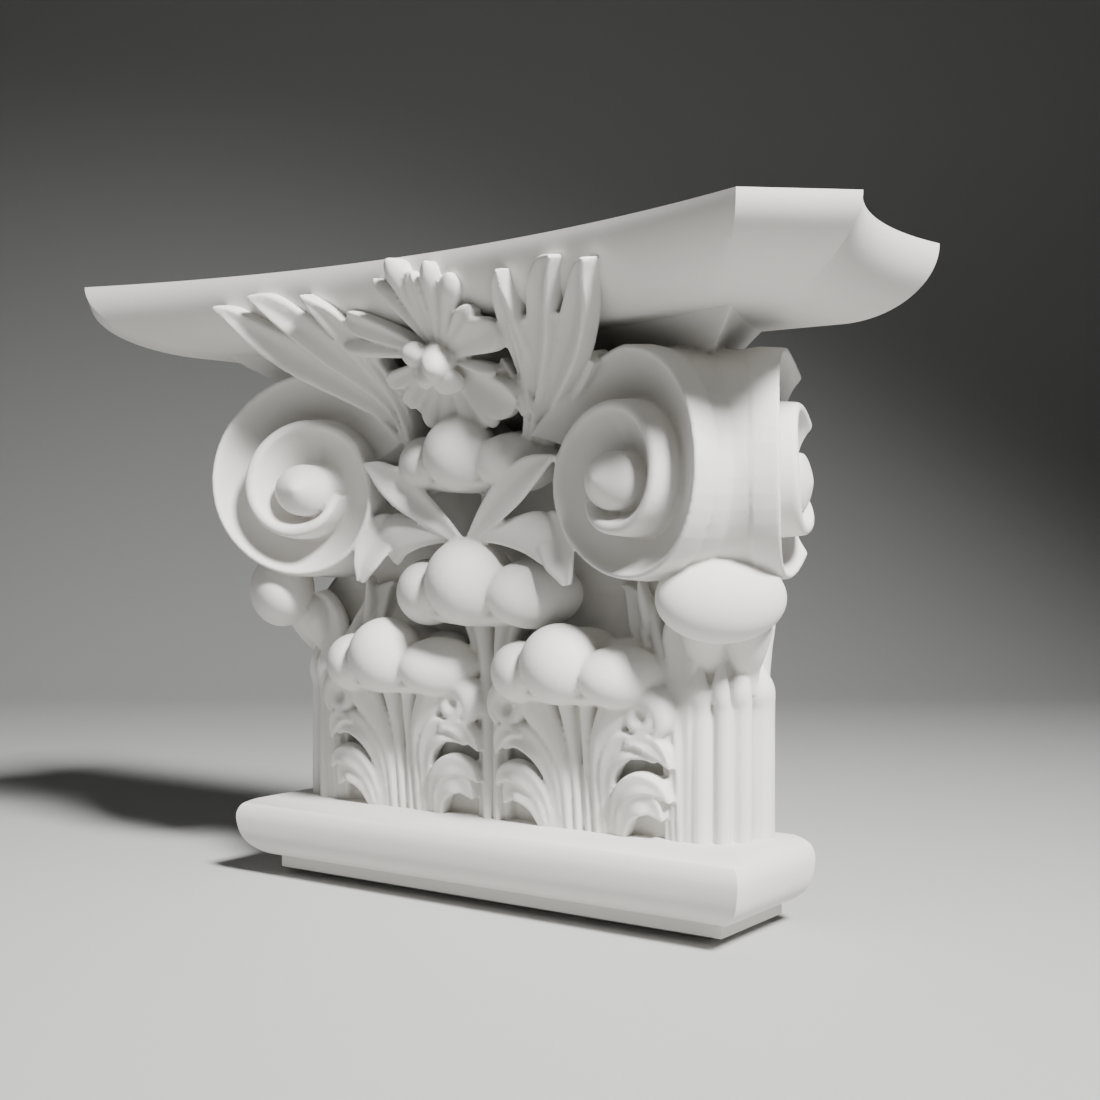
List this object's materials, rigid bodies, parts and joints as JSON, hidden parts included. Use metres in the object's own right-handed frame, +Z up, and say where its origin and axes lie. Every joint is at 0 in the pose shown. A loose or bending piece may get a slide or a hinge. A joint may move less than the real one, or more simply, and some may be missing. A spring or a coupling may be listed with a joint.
{
  "type": "pilaster capital",
  "caption": "Wall pilaster capital with corner volutes, acanthus leaves, berry heads and a central flower under a hollow-sided abacus, on a bullnose bed.",
  "frame": {"origin": "middle of the underside of the box around the capital", "axes": "+X along the wall, +Y into the wall, +Z up; the carved front faces -Y"},
  "size_m": [0.6, 0.1934, 0.412],
  "materials": {
    "plaster": "matt white cast plaster"
  },
  "bodies": {
    "root": {"capital": "plaster"}
  },
  "joints": []
}
